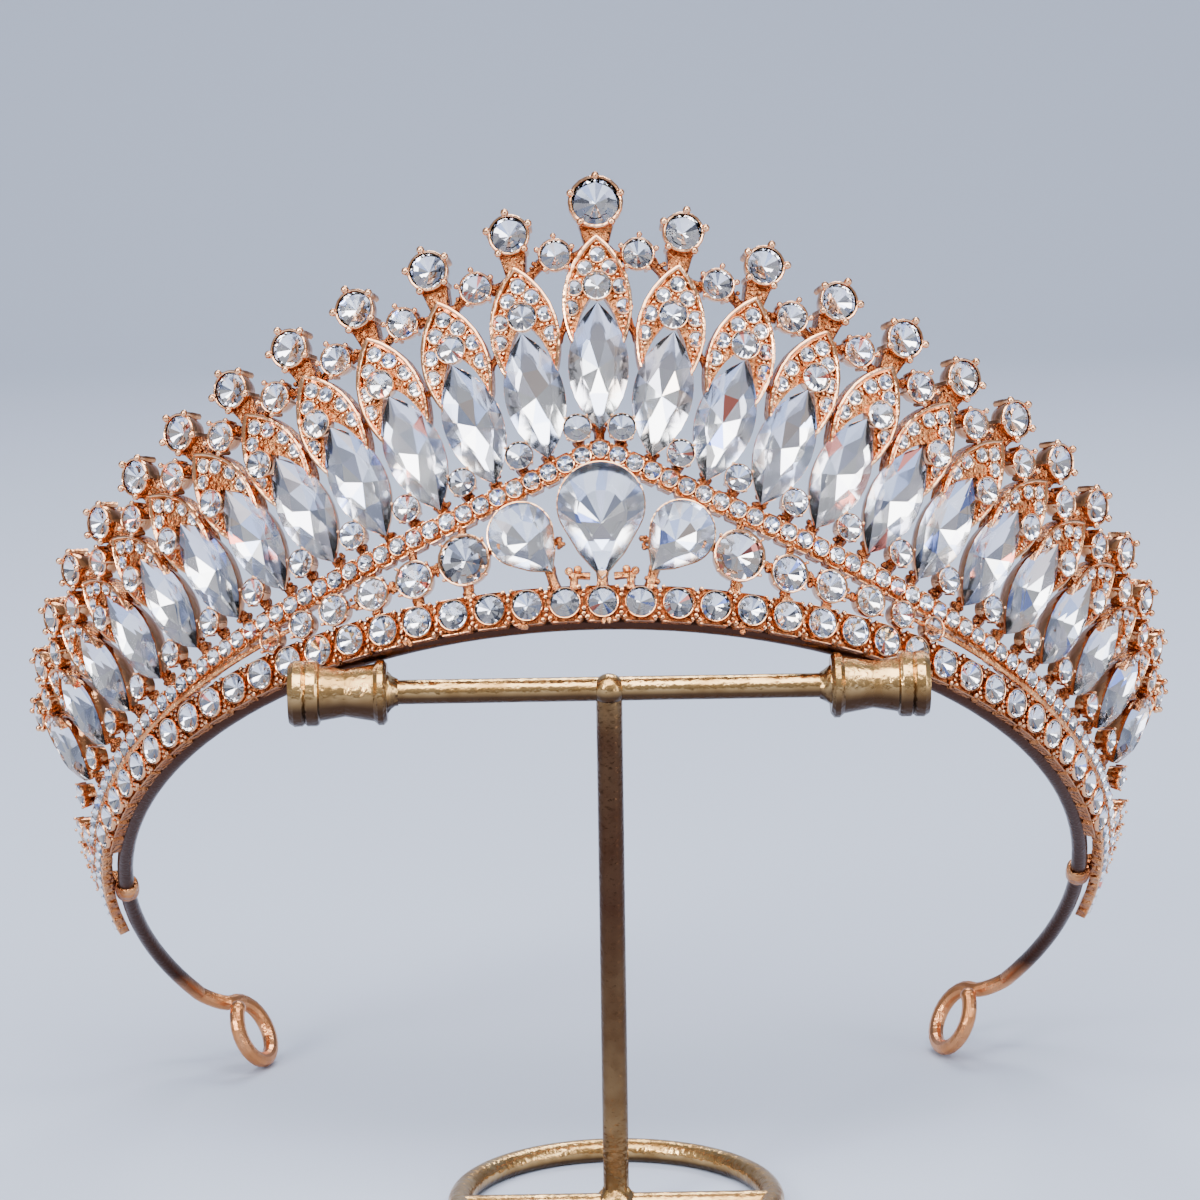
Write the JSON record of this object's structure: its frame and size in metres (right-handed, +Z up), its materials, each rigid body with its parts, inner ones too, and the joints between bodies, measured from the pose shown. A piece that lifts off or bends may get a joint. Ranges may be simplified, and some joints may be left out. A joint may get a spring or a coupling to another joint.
{
  "type": "bridal crown and display stand",
  "caption": "Gilt tiara set with clear cut stones on a wire headband with end loops, propped on a plain T-shaped brass stand with a ring base.",
  "frame": {"origin": "underside of the stand's crossbar, straight behind the front view, on the crown's mirror plane", "axes": "+X to the wearer's left as seen from the front on the right, +Y from the front to the back, +Z up"},
  "size_m": [0.146, 0.0859, 0.1208],
  "materials": {
    "crystal": "cut and polished, clear",
    "gilt": "rose-gold plated casting, polished rims and grained hollows",
    "wire": "copper-gold plated wire, satin",
    "stand_brass": "aged satin brass"
  },
  "bodies": {
    "root": {"navette_1": "crystal", "navette_2": "crystal", "navette_3": "crystal", "navette_4": "crystal", "navette_5": "crystal", "navette_6": "crystal", "navette_7": "crystal", "navette_8": "crystal", "navette_9": "crystal", "navette_10": "crystal", "navette_11": "crystal", "navette_12": "crystal", "navette_13": "crystal", "navette_14": "crystal", "navette_15": "crystal", "navette_16": "crystal", "navette_17": "crystal", "navette_18": "crystal", "navette_19": "crystal", "navette_20": "crystal", "navette_21": "crystal", "navette_22": "crystal", "navette_23": "crystal", "navette_24": "crystal", "navette_25": "crystal", "pear_middle": "crystal", "pear_left": "crystal", "pear_right": "crystal", "round_left": "crystal", "round_right": "crystal", "gallery_stones": "crystal", "tip_stones": "crystal", "link_stones": "crystal", "leaf_stones": "crystal", "foot_stones": "crystal", "band_stones": "crystal", "casting": "gilt", "headband": "wire", "stand": "stand_brass"}
  },
  "joints": []
}
